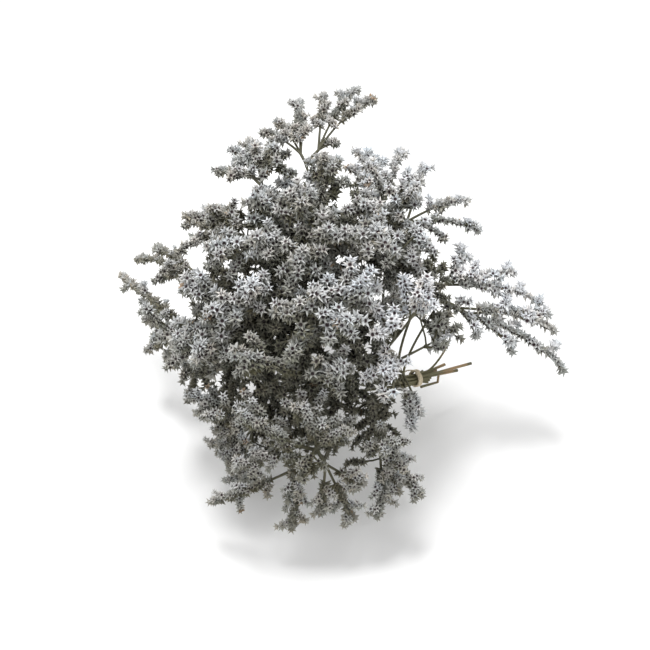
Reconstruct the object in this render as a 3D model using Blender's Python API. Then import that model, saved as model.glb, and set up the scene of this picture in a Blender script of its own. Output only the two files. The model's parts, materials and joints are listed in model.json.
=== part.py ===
"""Dried statice: a short bunch of cut flowering sprays held by one string tie.

The bunch lies on a level surface and looks up towards -Y. Each spray is one
grown piece: a stem that forks into branches, which carry one-sided spikes of
papery five-pointed stars. The stems run side by side through the tie and end
in cut stubs behind it. Three low spikes touch the surface, each with a small
flat spot. Lengths in the tables are millimetres; the model is in metres, +Z up.
"""

import math
import random

import bmesh
import bpy
from mathutils import Matrix, Vector
from mathutils.bvhtree import BVHTree

MM = 0.001

# Tie and stubs
TIE_POINT = (57, 42, 39)
STEM_AXIS = (-0.80, -0.55, 0.25)
STEM_RADIUS = 0.62
STEM_GAP = 0.32
TIE_WIDTH = 4.6
TIE_WALL = 0.9
TIE_CLEARANCE = 0.35
TIE_WRAPS = 3
TIE_GROOVE = 0.35
TIE_STEPS = 14
STRAND_RADIUS = 0.45
STRAND_STEPS = 8
STRAND_START = math.radians(10)
STRAND_SWEEP = math.radians(150)
STRAND_STAND = 1.6
STRAND_SEAT = 0.6
STRAND_SLACK = 5.0
SHORT_STUB = 9.0
STUB_LENGTHS = {"right": 42, "face": 33, "top": 27, "left_top": 21}
STUB_SPREAD = 0.9
FOLDED_STUB = "left_low"
FOLD_LENGTH = 22
FOLD_DROP = 7
FOLD_RETURN = 15
CURLED_STUB = "top_right"
CURL_REACH = (15, 12, 21)
CURL_START = 6
CURL_STEPS = 4

# Sweep of a stem from the tie up to its fork
SWEEP_BULGE = 0.4
SWEEP_START = 0.35
SWEEP_END = 0.3
SWEEP_STEPS = 6

# Branching
BRANCH_RADIUS = 0.7
SPIKE_RADIUS = 0.66
TWIG_RADIUS = 0.45
FORK_SHARE = 0.27
SPIKES_PER_BRANCH = 3.4
BRANCH_BEND = 0.3
BRANCH_STEPS = 2
ARCH_SHARE = 0.1
ARCH_HANDLES = (0.33, 0.72)
ARCH_UPLIFT = 0.6
SPIKE_STEPS = 3
BARE_SHARE = 0.24
ROOT_SINK = 1.2
ROOT_RADIUS = 0.4

# Dome that the inner spikes reach
DOME_CENTRE = (-2, 52, 72)
DOME_RADIUS = 112
DOME_SPREAD = math.radians(68)
DOME_AXIS = (-0.06, -0.70, 0.71)
DOME_SPIKES = 62
DOME_CROWDING = 0.62
DOME_CLEARANCE = 16
DOME_ROUGHNESS = 7
DOME_LEFT_SHARE = 0.92
DOME_RIGHT = 62
DOME_SEED = 11
WINDOW_AXIS = (-0.11, -0.72, 0.69)
TIE_WINDOW = 22
BARE_SIDE = 44
BARE_LEVEL = 100
BARE_SLOPE = 0.84
GOLDEN_ANGLE = math.pi * (3 - math.sqrt(5))

# Stars
STAR_RADIUS = 8.2
STAR_NOTCH = 0.5
STAR_POINTS = 5
STAR_TIP_HEIGHT = 5.8
STAR_NOTCH_HEIGHT = 4.6
STAR_CUP_HEIGHT = 3.0
STAR_SPACING = 9.9
SPACING_SPREAD = 0.08
STAR_LEAN = 0.45
END_STAR_LEAN = 0.4
STAR_SEAT = 1.6
RACHIS_SIDES = 3
CLEAR_SCALE = 1.09
STAR_SIZES = (1.0, 0.85, 0.7)

# Feet: the three low spikes that the bunch rests on
FOOT_RADIUS = 1.5
FOOT_HEIGHT = 4.0
FLOOR_MARGIN = 1.5

# Each spray: where its stem forks, then the tips of its outer spikes
SPRAYS = {
    "top": ((-11, 105, 153), (
        (31, 152, 175), (21, 161, 178), (0, 157, 176), (-16, 154, 173),
        (-31, 143, 164), (-39, 137, 159), (8, 125, 158), (-12, 131, 168),
    )),
    "top_right": ((36, 60, 140), (
        (17, 112, 161), (30, 109, 158), (58, 106, 154), (85, 89, 140), (90, 72, 129),
        (11, 95, 159), (21, 79, 156), (69, 60, 131), (45, 112, 161),
    )),
    "right_upper": ((56, 40, 112), (
        (113, 62, 106), (80, 66, 122), (125, 54, 92), (92, 53, 113), (101, 49, 101),
    )),
    "right": ((66, 37, 104), (
        (143, 29, 58), (134, 50, 84), (137, 42, 78), (87, 28, 86), (110, 28, 74), (82, 35, 106),
    )),
    "tie_side": ((31, -1, 101), ((52, -16, 67), (73, 25, 93), (34, -38, 108), (48, -25, 65))),
    "bottom_right": ((26, -24, 66), (
        (52, -53, 43), (41, -55, 65), (39, -54, 46), (28, -63, 37), (30, -55, 81), (40, -15, 0),
    )),
    "bottom": ((-4, -48, 76), (
        (-18, -63, 27), (-63, -50, 34), (16, -61, 33), (-2, -63, 40), (-13, -61, 68), (21, -55, 56),
    )),
    "bottom_left": ((-36, -6, 62), ((-68, -7, 31), (-52, -41, 53), (-50, -15, 0))),
    "left_low": ((-55, 32, 78), (
        (-93, 48, 43), (-113, 62, 45), (-113, 77, 54), (-140, 122, 61), (-81, 24, 38),
    )),
    "left": ((-60, 61, 98), ((-128, 124, 72), (-111, 117, 87), (-108, 103, 70))),
    "left_top": ((-45, 72, 123), ((-90, 116, 104), (-78, 115, 111), (-67, 113, 120), (-57, 103, 120))),
    "upper_left": ((-37, 95, 144), (
        (-68, 125, 138), (-57, 132, 151), (-47, 136, 155), (-37, 120, 155),
    )),
    "back": ((-10, 66, 88), ((-10, 95, 0), (-48, 112, 36), (30, 122, 42), (-8, 140, 70))),
    "face_upper": ((-8, 28, 134), ((-22, 79, 162), (-4, 84, 164), (-34, 80, 154))),
    "face": ((2, 2, 116), ()),
    "face_left": ((-29, 13, 108), ()),
    "face_low": ((-6, -14, 92), ()),
}


def mm(point):
    """A point given in millimetres, in metres."""
    return Vector(point) * MM


def bezier(ends, handles, count):
    """Evenly stepped points of a cubic curve."""
    start, end = ends
    first, second = handles
    points = []
    for step in range(count + 1):
        t = step / count
        s = 1 - t
        points.append(
            start * s ** 3 + first * 3 * s * s * t + second * 3 * s * t * t + end * t ** 3
        )
    return points


def across(direction):
    """Two directions at right angles to one another and to a direction."""
    side = direction.orthogonal().normalized()
    return side, direction.cross(side).normalized()


def bundle_slots(count):
    """Places in a hexagonal packing, nearest the middle first."""
    step = 2 * STEM_RADIUS + STEM_GAP
    places = []
    for row in range(-3, 4):
        for column in range(-3, 4):
            places.append(Vector((column + row / 2, row * math.sqrt(3) / 2)) * step * MM)
    places.sort(key=lambda place: (round(place.length, 6), math.atan2(place.y, place.x)))
    return places[:count]


def hand_out_slots():
    """Give each stem the place on the side that it leaves for, so none cross."""
    axis = Vector(STEM_AXIS).normalized()
    side, up = across(axis)
    names = list(SPRAYS)
    slots = bundle_slots(len(names))
    wish = {}
    for name in names:
        reach = mm(SPRAYS[name][0]) - mm(TIE_POINT)
        wish[name] = Vector((reach.dot(side), reach.dot(up))).normalized() * reach.angle(axis)
    order = dict(zip(names, range(len(names))))
    improved = True
    while improved:
        improved = False
        for one in names:
            for other in names:
                here, there = slots[order[one]], slots[order[other]]
                gain = (wish[one] - wish[other]).dot(there - here)
                if gain > 1e-6 * MM:
                    order[one], order[other] = order[other], order[one]
                    improved = True
    return {name: side * slots[order[name]].x + up * slots[order[name]].y for name in names}


def in_window(point):
    """Whether a point stands in the clear way through which the tie is seen."""
    window = Vector(WINDOW_AXIS).normalized()
    sight = point - mm(TIE_POINT)
    return (sight - window * sight.dot(window)).length < TIE_WINDOW * MM


def on_bare_side(point):
    """Whether a point lies on the side of the cut stem ends, where no spray grows."""
    level = point.z + point.y * BARE_SLOPE
    return point.x > BARE_SIDE * MM and level < BARE_LEVEL * MM


def dome_point(way, reach):
    """The point that lies a reach from the dome's middle; the dome is narrower on its left."""
    offset = way * reach * MM
    offset.x *= DOME_LEFT_SHARE if offset.x < 0 else 1
    return mm(DOME_CENTRE) + offset


def dome_tips():
    """Tips of the inner spikes, in a golden spiral over the dome, by spray."""
    draw = random.Random(DOME_SEED)
    axis = Vector(DOME_AXIS).normalized()
    side, up = across(axis)
    taken = [mm(tip) for fork, tips in SPRAYS.values() for tip in tips]
    found = {name: [] for name in SPRAYS}
    for index in range(DOME_SPIKES):
        lean = DOME_SPREAD * ((index + 0.5) / DOME_SPIKES) ** DOME_CROWDING
        turn = index * GOLDEN_ANGLE
        way = side * math.cos(turn) + up * math.sin(turn)
        way = axis * math.cos(lean) + way * math.sin(lean)
        reach = DOME_RADIUS + draw.uniform(-DOME_ROUGHNESS, DOME_ROUGHNESS)
        tip = dome_point(way, reach)
        if min((tip - other).length for other in taken) < DOME_CLEARANCE * MM:
            continue
        if tip.x > DOME_RIGHT * MM:
            continue
        if in_window(tip) or on_bare_side(tip):
            continue
        name = min(SPRAYS, key=lambda spray: (mm(SPRAYS[spray][0]) - tip).length)
        found[name].append(tip)
    return found


def branch_groups(fork, tips):
    """Sort the tips round the fork's own axis and share them out between branches."""
    heading = sum(tips, Vector()) / len(tips) - fork
    side, up = across(heading.normalized())
    ordered = sorted(
        tips, key=lambda tip: math.atan2((tip - fork).dot(up), (tip - fork).dot(side))
    )
    branches = max(1, round(len(ordered) / SPIKES_PER_BRANCH))
    size = math.ceil(len(ordered) / branches)
    return [ordered[first:first + size] for first in range(0, len(ordered), size)]


def outward(point, tangent):
    """The direction away from the dome's middle and up, square to a tangent."""
    away = (point - mm(DOME_CENTRE)).normalized() + Vector((0, 0, ARCH_UPLIFT))
    away -= tangent * away.dot(tangent)
    return away.normalized()


def stub_path(name, slot):
    """Points of a stem's cut end behind the tie, end first."""
    axis = Vector(STEM_AXIS).normalized()
    tie = mm(TIE_POINT) + slot
    short = tie - axis * SHORT_STUB * MM
    if name == FOLDED_STUB:
        corner = tie + slot * STUB_SPREAD - axis * FOLD_LENGTH * MM
        below = corner - Vector((0, 0, FOLD_DROP * MM))
        return [below + axis * FOLD_RETURN * MM, below, corner, short]
    if name == CURLED_STUB:
        end = short + mm(CURL_REACH)
        drop = Vector((0, 0, (end.z - short.z) / 2))
        return bezier((end, short), (end - drop, short - axis * CURL_START * MM), CURL_STEPS)
    length = STUB_LENGTHS.get(name, SHORT_STUB)
    return [tie + slot * STUB_SPREAD * length / SHORT_STUB / 2 - axis * length * MM]


def stem_path(name, slot):
    """Centre line of a stem: stub, tie, then a sweep up to the fork."""
    axis = Vector(STEM_AXIS).normalized()
    tie = mm(TIE_POINT) + slot
    fork = mm(SPRAYS[name][0])
    behind = tie - axis * TIE_WIDTH * MM
    leave = tie + axis * TIE_WIDTH * MM
    reach = (fork - leave).length
    heading = (fork - leave) / reach + (fork - mm(DOME_CENTRE)).normalized() * SWEEP_BULGE
    heading.normalize()
    handles = (leave + axis * reach * SWEEP_START, fork - heading * reach * SWEEP_END)
    return stub_path(name, slot) + [behind] + bezier((leave, fork), handles, SWEEP_STEPS)


def spike_path(fork, tip):
    """Centre line of a spike, which arches outward and droops at its tip."""
    foot = tip.z < FLOOR_MARGIN * MM
    end = tip + Vector((0, 0, FOOT_HEIGHT * MM)) if foot else tip
    span = end - fork
    middle = fork + span * 0.5
    lift = outward(middle, span.normalized()) * span.length * ARCH_SHARE
    handles = [fork + span * share + lift for share in ARCH_HANDLES]
    path = bezier((fork, end), handles, SPIKE_STEPS)
    return path + [tip] if foot else path


def spray_plan(name, slot, inner_tips):
    """Centre lines of one spray: its stem, its branches and its spikes."""
    fork = mm(SPRAYS[name][0])
    tips = [mm(tip) for tip in SPRAYS[name][1]] + inner_tips
    plan = {"stem": stem_path(name, slot), "branches": [], "spikes": []}
    for group in branch_groups(fork, tips):
        mean = sum(group, Vector()) / len(group)
        split = fork + (mean - fork) * FORK_SHARE
        bend = (fork - mm(DOME_CENTRE)).normalized() * (split - fork).length * BRANCH_BEND
        branch = bezier((fork, split), (fork + bend, split - (mean - split) * 0.1), BRANCH_STEPS)
        plan["branches"].append(rooted(branch, plan["stem"]))
        for tip in group:
            plan["spikes"].append(rooted(spike_path(split, tip), branch))
    return plan


def rooted(path, parent):
    """A path whose root is sunk into the end of its parent's path."""
    back = (parent[-1] - parent[-2]).normalized() * ROOT_SINK * MM
    return [path[0] - back] + path


def along(path, distance):
    """Point and tangent at a distance from the start of a path."""
    for here, there in zip(path, path[1:]):
        length = (there - here).length
        if distance <= length or there is path[-1]:
            return here.lerp(there, distance / length), (there - here).normalized()
        distance -= length
    raise ValueError("the path has no length")


def path_length(path):
    """Length of a path."""
    return sum((there - here).length for here, there in zip(path, path[1:]))


def frame_at(path, distance):
    """Point, tangent, outer side and flank at a distance along a spike."""
    point, tangent = along(path, distance)
    if distance < ROOT_SINK * MM:
        tangent = (path[2] - path[1]).normalized()
    chord = path[-1] - path[1]
    out = outward(path[1] + chord / 2, chord.normalized())
    out = (out - tangent * out.dot(tangent)).normalized()
    return point, tangent, out, tangent.cross(out)


def tube(name, points, radii):
    """A four-sided closed tube along a path, with its own radius at each point."""
    curve = bpy.data.curves.new(name, "CURVE")
    curve.dimensions = "3D"
    curve.bevel_depth = MM
    curve.bevel_resolution = 0
    curve.use_fill_caps = True
    spline = curve.splines.new("POLY")
    spline.points.add(len(points) - 1)
    for knot, point, radius in zip(spline.points, points, radii):
        knot.co = (*point, 1)
        knot.radius = radius
    source = bpy.data.objects.new(name, curve)
    bpy.context.scene.collection.objects.link(source)
    graph = bpy.context.evaluated_depsgraph_get()
    mesh = bpy.data.meshes.new_from_object(source.evaluated_get(graph))
    bpy.data.objects.remove(source)
    bpy.data.curves.remove(curve)
    return mesh


def taper(start, end, count):
    """Radii that change evenly from one value to another."""
    return [start + (end - start) * step / (count - 1) for step in range(count)]


def star_rim(bm, matrix):
    """The cupped upper side of a star, placed by a matrix; its rim edges."""
    made = bmesh.ops.create_circle(
        bm, cap_ends=True, cap_tris=True, segments=2 * STAR_POINTS, radius=STAR_RADIUS
    )["verts"]
    middle = max(made, key=lambda vert: len(vert.link_edges))
    edge = [vert for vert in made if vert is not middle]
    edge.sort(key=lambda vert: math.atan2(vert.co.y, vert.co.x))
    for vert in edge:
        vert.co.z = STAR_TIP_HEIGHT
    for vert in edge[::2]:
        vert.co.xy *= STAR_NOTCH
        vert.co.z = STAR_NOTCH_HEIGHT
    middle.co.z = STAR_CUP_HEIGHT
    bmesh.ops.transform(bm, matrix=matrix, verts=made)
    return [item for item in {e for vert in edge for e in vert.link_edges} if item.is_boundary]


def star_probes():
    """A star's cup alone, and the whole closed star, used to feel for neighbours."""
    probes = []
    for closed in (False, True):
        bm = bmesh.new()
        rim = star_rim(bm, Matrix.Scale(MM, 4))
        if closed:
            root = bmesh.ops.extrude_edge_only(bm, edges=rim)["geom"]
            low = [item for item in root if isinstance(item, bmesh.types.BMVert)]
            bmesh.ops.pointmerge(bm, verts=low, merge_co=(0, 0, SPIKE_RADIUS * 1.5 * MM))
        mesh = bpy.data.meshes.new("star")
        bm.to_mesh(mesh)
        bm.free()
        probes.append(mesh)
    return probes


def surface(mesh, matrix=Matrix()):
    """Search tree of a mesh's faces, placed by a matrix."""
    points = [matrix @ vert.co for vert in mesh.vertices]
    return BVHTree.FromPolygons(points, [tuple(face.vertices) for face in mesh.polygons])


def aim(place, axis, roll, size):
    """Matrix that stands a shape at a place along an axis, rolled and sized."""
    turn = axis.to_track_quat("Z", "Y").to_matrix().to_4x4()
    return Matrix.Translation(place) @ turn @ Matrix.Rotation(roll, 4, "Z") @ Matrix.Scale(size, 4)


def is_foot(path):
    """Whether a spike ends on the surface that the bunch rests on."""
    return path[-1].z < FLOOR_MARGIN * MM


def star_stands(path, draw):
    """Distance, rank, axis and roll of each star that a spike could carry, tip first."""
    total = path_length(path)
    stands = []
    distance = total - (FOOT_HEIGHT + STAR_SEAT) * MM if is_foot(path) else total
    rank = 1 if is_foot(path) else 0
    while distance > total * BARE_SHARE:
        tangent, out, side = frame_at(path, distance)[1:]
        if rank == 0:
            axis = tangent + out * END_STAR_LEAN
        else:
            turn = rank * math.pi / RACHIS_SIDES
            axis = out * math.cos(turn) + side * math.sin(turn) + tangent * STAR_LEAN
        stands.append((distance, rank, axis.normalized(), draw.uniform(0, 2 * math.pi)))
        distance -= STAR_SPACING * MM * draw.uniform(1 - SPACING_SPREAD, 1 + SPACING_SPREAD)
        rank = -1 if rank == 1 else 1
    return stands


def rachis_ring(bm, path, distance):
    """Three new corners round a path; the first points outward."""
    point, tangent, out, side = frame_at(path, distance)
    total = path_length(path)
    radius = SPIKE_RADIUS + (TWIG_RADIUS - SPIKE_RADIUS) * distance / total
    if distance == 0:
        radius = ROOT_RADIUS
    if is_foot(path) and distance > total - (FOOT_HEIGHT + STAR_SEAT / 4) * MM:
        radius = FOOT_RADIUS
    corners = []
    for index in range(RACHIS_SIDES):
        turn = index * 2 * math.pi / RACHIS_SIDES
        spoke = out * math.cos(turn) + side * math.sin(turn)
        corners.append(bm.verts.new(point + spoke * radius * MM))
    return corners


def wall(bm, lower, upper, open_side=None):
    """Sides between two rings; one side may stay open, and its corners are returned."""
    seat = None
    for corner in range(RACHIS_SIDES):
        after = (corner + 1) % RACHIS_SIDES
        loop = [lower[corner], lower[after], upper[after], upper[corner]]
        if corner == open_side:
            seat = loop
        else:
            bm.faces.new(loop)
    return seat


def raise_star(bm, corners, matrix):
    """Carry the open seat between some corners up to a star's rim."""
    rim = star_rim(bm, matrix)
    pairs = zip(corners, corners[1:] + corners[:1])
    seat = [bm.edges.get(pair) or bm.edges.new(pair) for pair in pairs]
    bmesh.ops.bridge_loops(bm, edges=rim + seat)


def spike_mesh(path, stars):
    """A three-sided stem along a path, with its stars raised from its sides."""
    bm = bmesh.new()
    stars = sorted(stars, key=lambda star: star[0])
    before = rachis_ring(bm, path, 0)
    bm.faces.new(before[::-1])
    for distance, rank, matrix in stars:
        seated = rank != 0
        low = rachis_ring(bm, path, distance - STAR_SEAT / 2 * MM) if seated else before
        high = rachis_ring(bm, path, distance + STAR_SEAT / 2 * MM if seated else distance)
        open_side = {1: 0, -1: RACHIS_SIDES - 1}.get(rank)
        for lower, upper in ((before, low), (low, high)):
            if lower is upper:
                continue
            seat = wall(bm, lower, upper, open_side if lower is low else None)
            if seat:
                raise_star(bm, seat, matrix)
        if not seated:
            raise_star(bm, high, matrix)
        before = high
    if is_foot(path):
        total = path_length(path)
        for distance in (total - FOOT_HEIGHT * MM, total):
            after = rachis_ring(bm, path, distance)
            wall(bm, before, after)
            before = after
    if stars[-1][1] != 0:
        bm.faces.new(before)
    bmesh.ops.triangulate(bm, faces=bm.faces)
    bmesh.ops.recalc_face_normals(bm, faces=bm.faces)
    mesh = bpy.data.meshes.new("spike")
    bm.to_mesh(mesh)
    bm.free()
    return mesh


def fuse(name, base, meshes, surfacing):
    """Join meshes to a base mesh as one closed solid with one Boolean union."""
    body = bpy.data.objects.new(name, base)
    bpy.context.scene.collection.objects.link(body)
    pile = bpy.data.collections.new(name + "_pieces")
    bpy.context.scene.collection.children.link(pile)
    for mesh in meshes:
        pile.objects.link(bpy.data.objects.new(mesh.name, mesh))
    union = body.modifiers.new("union", "BOOLEAN")
    union.operation = "UNION"
    union.solver = "EXACT"
    union.operand_type = "COLLECTION"
    union.collection = pile
    graph = bpy.context.evaluated_depsgraph_get()
    solid = bpy.data.meshes.new_from_object(body.evaluated_get(graph))
    body.modifiers.clear()
    body.data = solid
    for piece in list(pile.objects):
        bpy.data.objects.remove(piece)
    bpy.data.collections.remove(pile)
    solid.materials.clear()
    solid.materials.append(surfacing)
    return body


def material(name, colour, roughness):
    """A plain Principled material."""
    made = bpy.data.materials.new(name)
    made.use_nodes = True
    shader = made.node_tree.nodes["Principled BSDF"]
    shader.inputs["Base Color"].default_value = (*colour, 1)
    shader.inputs["Roughness"].default_value = roughness
    return made


def spike_radii(path):
    """Radii along a spike: a taper, or a blunt end on a foot."""
    radii = [ROOT_RADIUS] + taper(SPIKE_RADIUS, TWIG_RADIUS, len(path) - 1)
    if is_foot(path):
        radii[-2:] = [FOOT_RADIUS, FOOT_RADIUS]
    return radii


def stem_tubes(name, plan):
    """The tubes of one spray: stem, branches and spikes."""
    tubes = [tube(name, plan["stem"], [STEM_RADIUS] * len(plan["stem"]))]
    for path in plan["branches"]:
        tubes.append(tube("branch", path, [ROOT_RADIUS] + [BRANCH_RADIUS] * (len(path) - 1)))
    for path in plan["spikes"]:
        tubes.append(tube("spike", path, spike_radii(path)))
    return tubes


def clear_star(probes, stand, place, own, neighbours):
    """Placing matrix of the largest star that stands clear of its neighbours, or None."""
    cup, whole = probes
    for size in STAR_SIZES:
        matrix = aim(place, stand[2], stand[3], size)
        grown = aim(place, stand[2], stand[3], size * CLEAR_SCALE)
        lowest = min((matrix @ vert.co).z for vert in whole.vertices)
        if lowest < FLOOR_MARGIN * MM or surface(cup, matrix).overlap(own):
            continue
        feeler = surface(whole, grown)
        if not any(feeler.overlap(tree) for tree in neighbours):
            return matrix
    return None


def place_stars(plans, stem_trees):
    """Stars of each spike of each spray, every one clear of all other pieces."""
    probes = star_probes()
    trees = {name: list(tubes) for name, tubes in stem_trees.items()}
    stars = {name: [] for name in plans}
    for name, plan in plans.items():
        draw = random.Random(name)
        for index, path in enumerate(plan["spikes"]):
            own = stem_trees[name][index - len(plan["spikes"])]
            placed = []
            for stand in star_stands(path, draw):
                place = along(path, stand[0])[0]
                neighbours = [tree for group in trees.values() for tree in group if tree is not own]
                matrix = clear_star(probes, stand, place, own, neighbours)
                if matrix:
                    placed.append((stand[0], stand[1], matrix @ Matrix.Scale(MM, 4)))
                    trees[name].append(surface(probes[1], matrix))
            stars[name].append(placed)
    return stars


def build_sprays():
    """Grow every spray and fuse each into one solid."""
    papery = material("papery_star", (0.62, 0.62, 0.66), 0.85)
    slots = hand_out_slots()
    inner = dome_tips()
    plans = {name: spray_plan(name, slots[name], inner[name]) for name in SPRAYS}
    stems = {name: stem_tubes(name, plan) for name, plan in plans.items()}
    stem_trees = {name: [surface(mesh) for mesh in tubes] for name, tubes in stems.items()}
    stars = place_stars(plans, stem_trees)
    sprays = []
    for name, plan in plans.items():
        wood = stems[name][:len(stems[name]) - len(plan["spikes"])]
        spikes = []
        for path, placed, bare in zip(plan["spikes"], stars[name], stems[name][len(wood):]):
            spikes.append(spike_mesh(path, placed) if placed else bare)
        sprays.append(fuse("spray_" + name, wood[0], wood[1:] + spikes, papery))
    return sprays


def tie_profile():
    """Outline of the wound string's section: a flat inner side and a bump for each wrap."""
    inner = bundle_radius() + TIE_CLEARANCE
    outer = inner + TIE_WALL
    step = TIE_WIDTH / TIE_WRAPS
    outline = [(inner, -TIE_WIDTH / 2), (inner, TIE_WIDTH / 2)]
    for wrap in range(TIE_WRAPS):
        top = TIE_WIDTH / 2 - wrap * step
        outline.append((outer - TIE_WALL * TIE_GROOVE, top - step * TIE_GROOVE / 2))
        outline.append((outer, top - step / 2))
    outline.append((outer - TIE_WALL * TIE_GROOVE, -TIE_WIDTH / 2 + step * TIE_GROOVE / 2))
    return outline


def bundle_radius():
    """Reach of the outermost stem's surface from the middle of the tie."""
    return bundle_slots(len(SPRAYS))[-1].length / MM + STEM_RADIUS


def build_tie():
    """The wound string, with one slack turn that stands off towards the head."""
    axis = Vector(STEM_AXIS).normalized()
    place = Matrix.Translation(mm(TIE_POINT)) @ axis.to_track_quat("Z", "X").to_matrix().to_4x4()
    bm = bmesh.new()
    corners = [bm.verts.new((reach * MM, 0, height * MM)) for reach, height in tie_profile()]
    pairs = zip(corners, corners[1:] + corners[:1])
    edges = [bm.edges.new(pair) for pair in pairs]
    bmesh.ops.spin(
        bm, geom=corners + edges, cent=(0, 0, 0), axis=(0, 0, 1), steps=TIE_STEPS, angle=2 * math.pi,
        use_merge=True,
    )
    bmesh.ops.remove_doubles(bm, verts=bm.verts, dist=0.01 * MM)
    bmesh.ops.recalc_face_normals(bm, faces=bm.faces)
    ring = bpy.data.meshes.new("ring")
    bm.to_mesh(ring)
    bm.free()
    ring.transform(place)
    reach = bundle_radius() + TIE_CLEARANCE + TIE_WALL * STRAND_SEAT
    slack = []
    for step in range(STRAND_STEPS + 1):
        share = step / STRAND_STEPS
        turn = STRAND_START + share * STRAND_SWEEP
        swell = math.sin(math.pi * share)
        spoke = Vector((math.cos(turn), math.sin(turn), 0)) * (reach + swell * STRAND_STAND)
        slack.append(place @ ((spoke + Vector((0, 0, swell * STRAND_SLACK))) * MM))
    strand = tube("strand", slack, [STRAND_RADIUS] * len(slack))
    return fuse("tie_string", ring, [strand], material("cream_string", (0.72, 0.66, 0.52), 0.9))


def stand_on_origin(pieces):
    """Move the pieces so that the middle of their footprint is the origin."""
    corners = [piece.matrix_world @ vert.co for piece in pieces for vert in piece.data.vertices]
    xs, ys = [corner.x for corner in corners], [corner.y for corner in corners]
    shift = Vector((-(min(xs) + max(xs)) / 2, -(min(ys) + max(ys)) / 2, 0))
    for piece in pieces:
        piece.data.transform(Matrix.Translation(shift))


def main():
    """Clear the scene and build the bunch."""
    for item in list(bpy.data.objects):
        bpy.data.objects.remove(item)
    stand_on_origin(build_sprays() + [build_tie()])


main()
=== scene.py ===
"""Looks of the dried statice bunch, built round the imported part.

The same growth rule as in the part's source lays out the sprays. Here the outer
spikes also get short side spikes, the inner ones end in tufts, more spikes close
the depth between them, and the stars have their real size. Lengths are
millimetres unless a name says otherwise; the model is in metres, +Z up.
"""

import json
import math
import random

import bmesh
import bpy
from mathutils import Matrix, Vector
from mathutils.kdtree import KDTree


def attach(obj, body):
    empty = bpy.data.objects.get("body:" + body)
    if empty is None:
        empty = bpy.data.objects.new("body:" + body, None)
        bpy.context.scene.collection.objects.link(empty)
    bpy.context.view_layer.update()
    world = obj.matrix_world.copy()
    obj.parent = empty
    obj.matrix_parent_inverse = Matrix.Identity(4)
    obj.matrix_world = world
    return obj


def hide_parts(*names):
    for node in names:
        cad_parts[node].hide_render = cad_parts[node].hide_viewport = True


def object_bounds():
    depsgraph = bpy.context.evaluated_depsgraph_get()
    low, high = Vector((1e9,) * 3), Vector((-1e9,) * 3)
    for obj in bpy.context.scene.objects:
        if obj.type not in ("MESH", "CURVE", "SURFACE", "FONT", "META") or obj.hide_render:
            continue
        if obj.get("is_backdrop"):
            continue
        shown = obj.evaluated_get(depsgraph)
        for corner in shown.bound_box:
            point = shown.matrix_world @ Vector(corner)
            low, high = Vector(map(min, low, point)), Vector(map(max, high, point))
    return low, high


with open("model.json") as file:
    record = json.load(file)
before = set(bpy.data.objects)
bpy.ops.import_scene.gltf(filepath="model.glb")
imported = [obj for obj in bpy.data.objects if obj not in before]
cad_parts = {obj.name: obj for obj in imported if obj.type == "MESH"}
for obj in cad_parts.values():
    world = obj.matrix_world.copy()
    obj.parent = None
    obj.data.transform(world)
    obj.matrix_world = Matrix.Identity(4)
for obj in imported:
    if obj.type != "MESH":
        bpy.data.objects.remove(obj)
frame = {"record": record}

bl_info = {
    "name": "Dried Statice Bunch",
    "version": (1, 0, 0),
    "blender": (4, 5, 0),
    "location": "3D View > Sidebar > Statice",
    "description": "Grows a tied bunch of dried statice with papery star florets",
    "category": "Add Mesh",
}

MM = 0.001

# Tie and the stems that it holds
TIE_POINT = (57, 42, 39)
STEM_WAY = Vector((-0.80, -0.55, 0.25)).normalized()
STEM_RADIUS = 0.62
STEM_GAP = 0.32
STEM_ROUNDING = 1
SLOT_ROWS = 3
LEAST_GAIN = 1e-6
TIED_RADIUS = 0.75
TIE_WIDTH = 4.6
TIE_CLEARANCE = 0.35
TIE_WRAPS = 3
WRAP_STEPS = 28
STRING_ROUNDING = 2

# Slack strand of the tie; its start and its run round the tie are degrees
SLACK_START = 10
SLACK_RUN = 150
SLACK_STEPS = 12
SLACK_LIFT = 1.6
SLACK_DRIFT = 5.0
SLACK_RADIUS = 0.4

# Cut ends behind the tie, one of them folded back and one curled up
SHORT_STUB = 9.0
STUB_END_RADIUS = 1.05
STUB_LENGTHS = {"right": 42, "face": 33, "top": 27, "left_top": 21}
STUB_SPREAD = 0.9
FOLDED_STUB = "left_low"
FOLD_LENGTH = 22
FOLD_DROP = 7
FOLD_RETURN = 15
FOLD_POINTS = 3
FOLD_RADIUS = 0.95
CURLED_STUB = "top_right"
CURL_REACH = (15, 12, 21)
CURL_START = 6
CURL_STEPS = 9

# Sweep of a stem from the tie up to its fork
SWEEP_BULGE = 0.4
SWEEP_START = 0.35
SWEEP_END = 0.3
SWEEP_STEPS = 16

# Branching
FORK_RADIUS = 0.8
BRANCH_RADIUS = 0.75
SPIKE_RADIUS = 0.6
SPIKE_END_RADIUS = 0.3
FORK_SHARE = 0.27
SPIKES_PER_BRANCH = 3.4
BRANCH_BEND = 0.3
BRANCH_LEAD = 0.1
BRANCH_STEPS = 5
ARCH_SHARE = 0.1
ARCH_HANDLES = (0.33, 0.72)
ARCH_UPLIFT = 0.6
SPIKE_STEPS = 10
FOOT_LIFT = 0.2

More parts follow.
